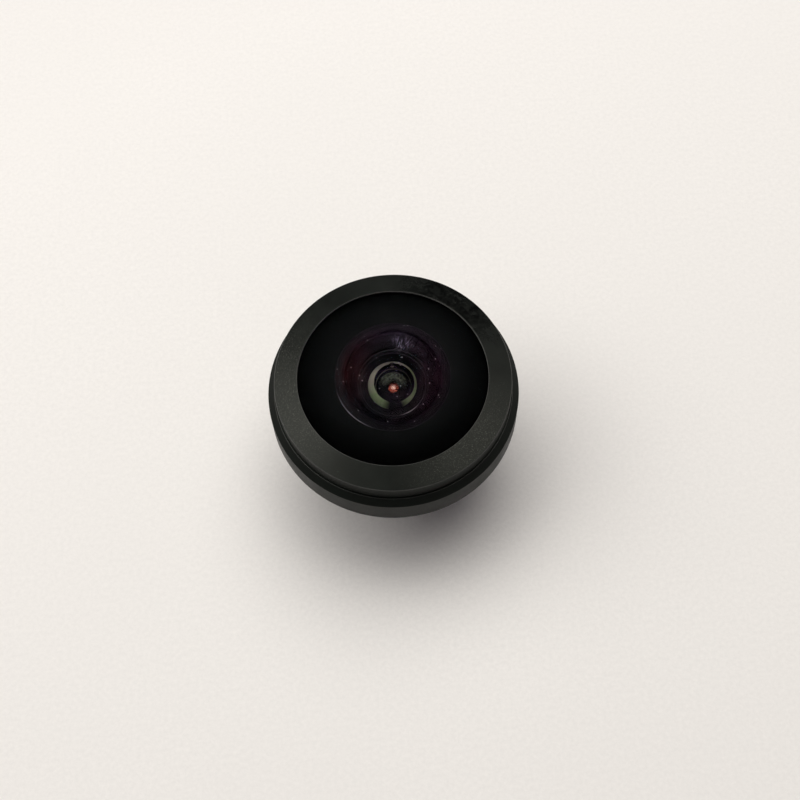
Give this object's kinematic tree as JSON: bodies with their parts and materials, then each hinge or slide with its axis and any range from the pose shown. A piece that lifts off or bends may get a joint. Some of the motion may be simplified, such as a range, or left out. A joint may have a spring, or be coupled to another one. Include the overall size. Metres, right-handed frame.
{
  "type": "camera lens",
  "caption": "Screw-in wide-angle lens with a domed front glass in a broad black head, a fine-threaded barrel behind it and a knurled lock ring on the thread.",
  "frame": {"origin": "centre of the rear rim, on the optical axis, where the lens stands on its rear end", "axes": "+Z along the optical axis, from the rear rim towards the dome glass; X and Y are equal, since the lens is round"},
  "size_m": [0.022, 0.022, 0.0186],
  "materials": {
    "black_anodised": "matte black anodised, finely blasted",
    "black_spacer": "matte black anodised, fine turned grooves",
    "coated_glass": "polished optical glass with an antireflection coating and black-inked rims",
    "infrared_glass": "plane glass with a red-reflecting infrared-cut coating",
    "black_film": "dull black polyester film",
    "seal_rubber": "soft black rubber",
    "black_nylon": "dull black nylon"
  },
  "bodies": {
    "lens_body": {"main_barrel": "black_anodised", "front_ring": "black_anodised", "inner_retaining_ring": "black_anodised", "rear_retaining_ring": "black_anodised", "front_spacer": "black_spacer", "middle_spacer": "black_spacer", "stop_spacer": "black_spacer", "rear_spacer": "black_spacer", "doublet_spacer": "black_spacer", "front_element": "coated_glass", "second_element": "coated_glass", "third_element": "coated_glass", "fourth_element": "coated_glass", "fifth_element": "coated_glass", "sixth_element": "coated_glass", "second_element_shield": "black_film", "third_element_shield": "black_film", "aperture_stop": "black_film", "front_seal": "seal_rubber", "filter_gasket": "seal_rubber", "infrared_filter": "infrared_glass"},
    "washer_body": {"lock_washer": "black_nylon"},
    "ring_body": {"lock_ring": "black_anodised"}
  },
  "joints": [
    {"name": "lock_ring_travel", "type": "slide", "parent": "lens_body", "child": "washer_body", "axis": [0, 0, 1], "range_m": [-0.005, 0]},
    {"name": "lock_ring_turn", "type": "hinge", "parent": "washer_body", "child": "ring_body", "pos_m": [0, 0, 0.0086], "axis": [0, 0, 1], "range_deg": [-3600, 0]}
  ],
  "couplings": [
    {"joint": "lock_ring_turn", "follows": "lock_ring_travel", "rad_per_m": 12566}
  ]
}
